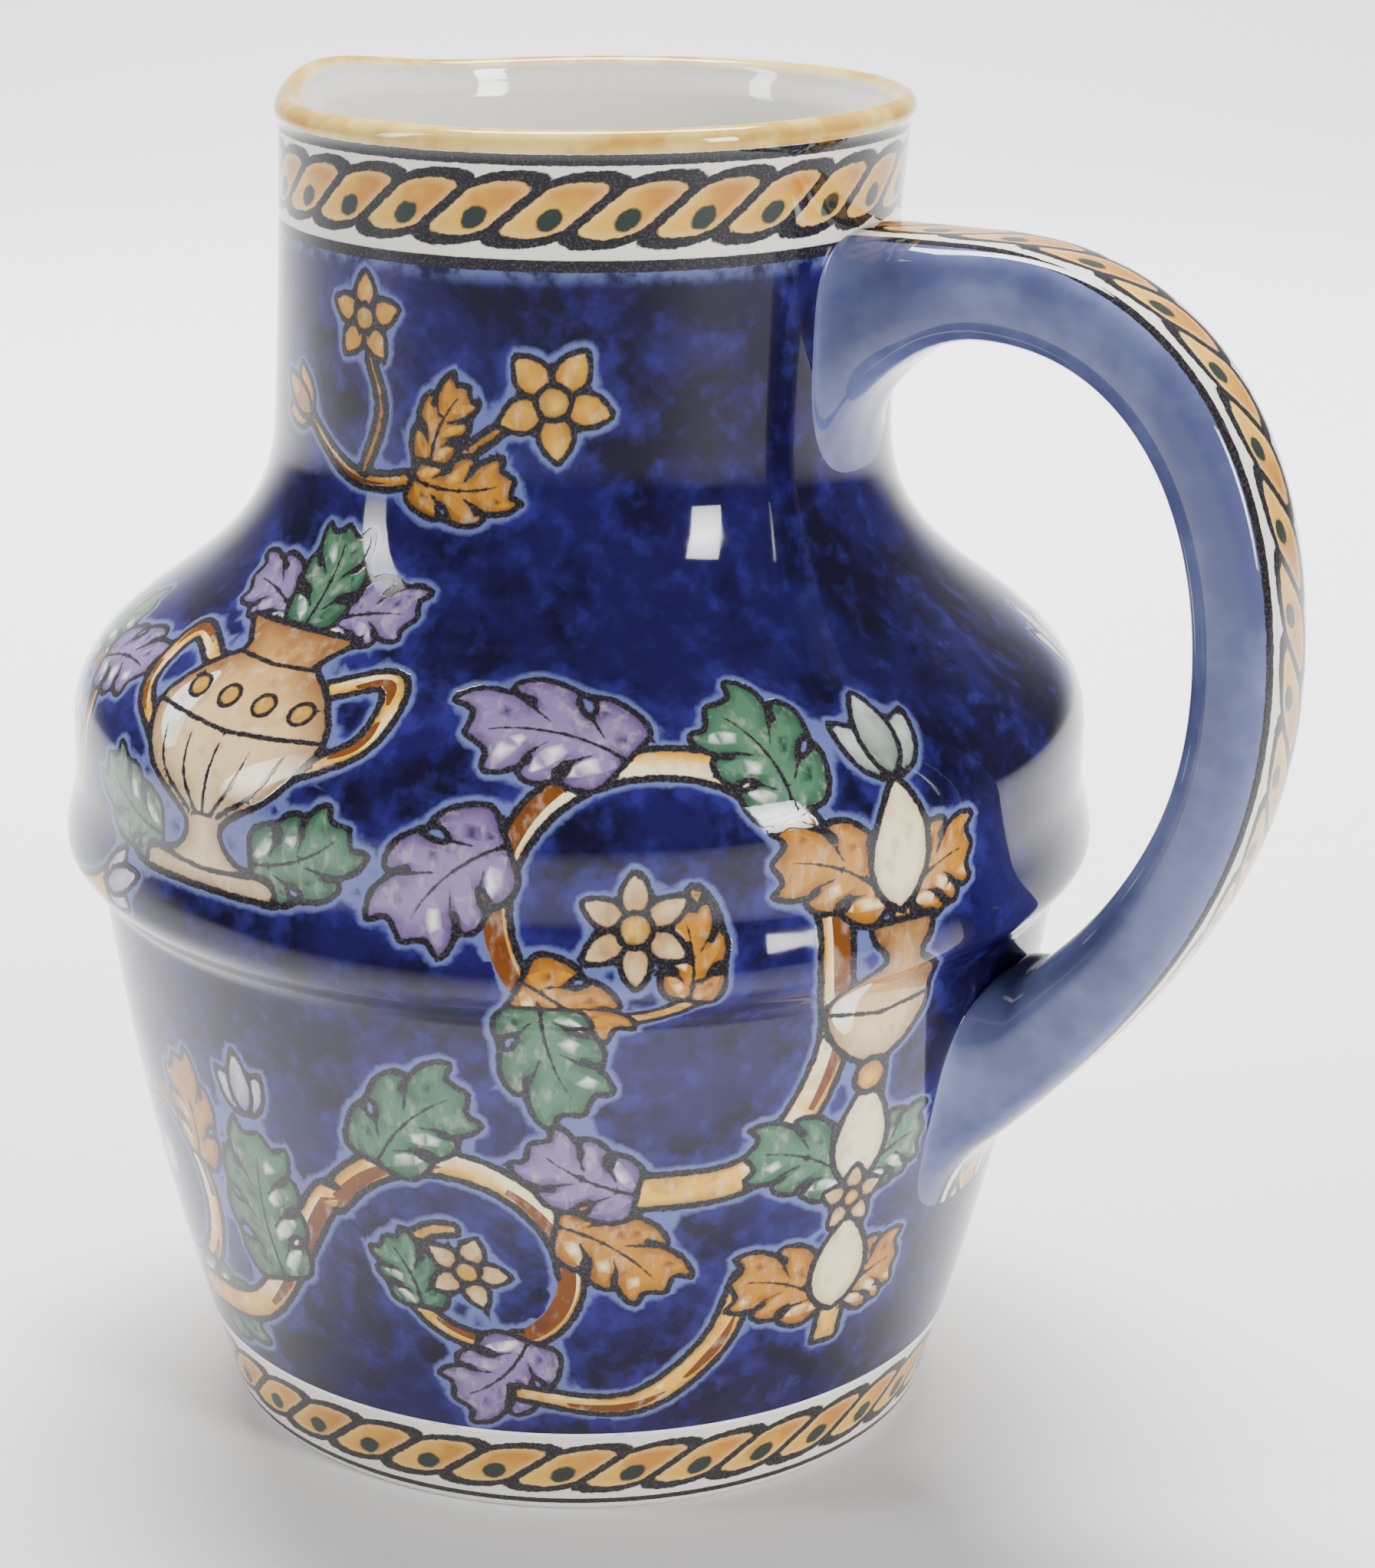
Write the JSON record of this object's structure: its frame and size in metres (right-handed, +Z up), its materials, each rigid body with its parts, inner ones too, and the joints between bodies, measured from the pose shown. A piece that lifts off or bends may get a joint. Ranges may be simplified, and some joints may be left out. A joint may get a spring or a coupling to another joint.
{
  "type": "cream jug",
  "caption": "Small hollow cream jug of glazed earthenware with a ridged round body, a straight neck with a pulled pouring lip and a strap handle.",
  "frame": {"origin": "centre of the flat underside", "axes": "+Z up along the turned body's centre line, +X towards the handle, pouring lip towards -X"},
  "size_m": [0.1143, 0.0936, 0.1213],
  "materials": {
    "painted_glaze": "glossy cobalt blue glaze painted with ochre, green and white scrollwork"
  },
  "bodies": {
    "root": {"jug": "painted_glaze"}
  },
  "joints": []
}
